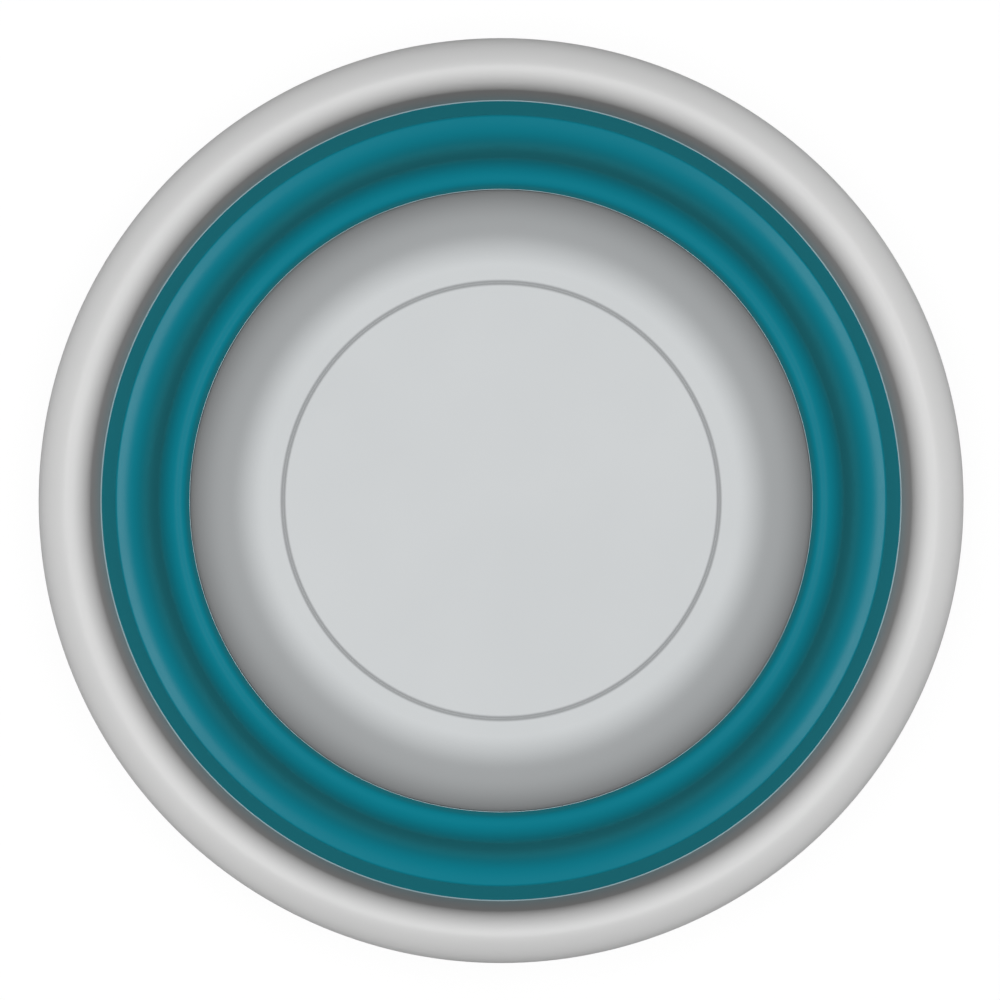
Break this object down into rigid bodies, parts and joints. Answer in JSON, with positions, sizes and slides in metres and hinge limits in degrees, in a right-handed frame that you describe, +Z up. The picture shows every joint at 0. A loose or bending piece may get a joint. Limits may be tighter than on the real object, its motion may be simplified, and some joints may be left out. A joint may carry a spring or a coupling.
{
  "type": "collapsible washbasin",
  "caption": "Round collapsible camp washbasin: rolled hard rim, stepped soft wall that folds flat, and a hard bowl-shaped base with a non-slip foot ring.",
  "frame": {"origin": "centre of the foot ring's underside, on the ground, on the basin's axis", "axes": "+Z up along the basin's axis, from the ground to the rim; the basin is round, so +X is any radius"},
  "size_m": [0.3716, 0.3716, 0.14],
  "materials": {
    "rim_plastic": "satin, fine mould texture",
    "base_plastic": "satin",
    "wall_elastomer": "soft satin",
    "foot_elastomer": "matt, non-slip"
  },
  "bodies": {
    "base": {"base_bowl": "base_plastic", "foot_ring": "foot_elastomer", "wall_lower_band": "wall_elastomer"},
    "rim": {"rim": "rim_plastic", "wall_upper_band": "wall_elastomer"},
    "fold_band": {"wall_fold_band": "wall_elastomer"}
  },
  "joints": [
    {"name": "collapse", "type": "slide", "parent": "base", "child": "rim", "axis": [0, 0, -1], "range_m": [0, 0.074]},
    {"name": "fold_slide", "type": "slide", "parent": "base", "child": "fold_band", "axis": [0, 0, -1], "range_m": [0, 0.037]}
  ],
  "couplings": [
    {"joint": "fold_slide", "follows": "collapse", "ratio": 0.5}
  ]
}
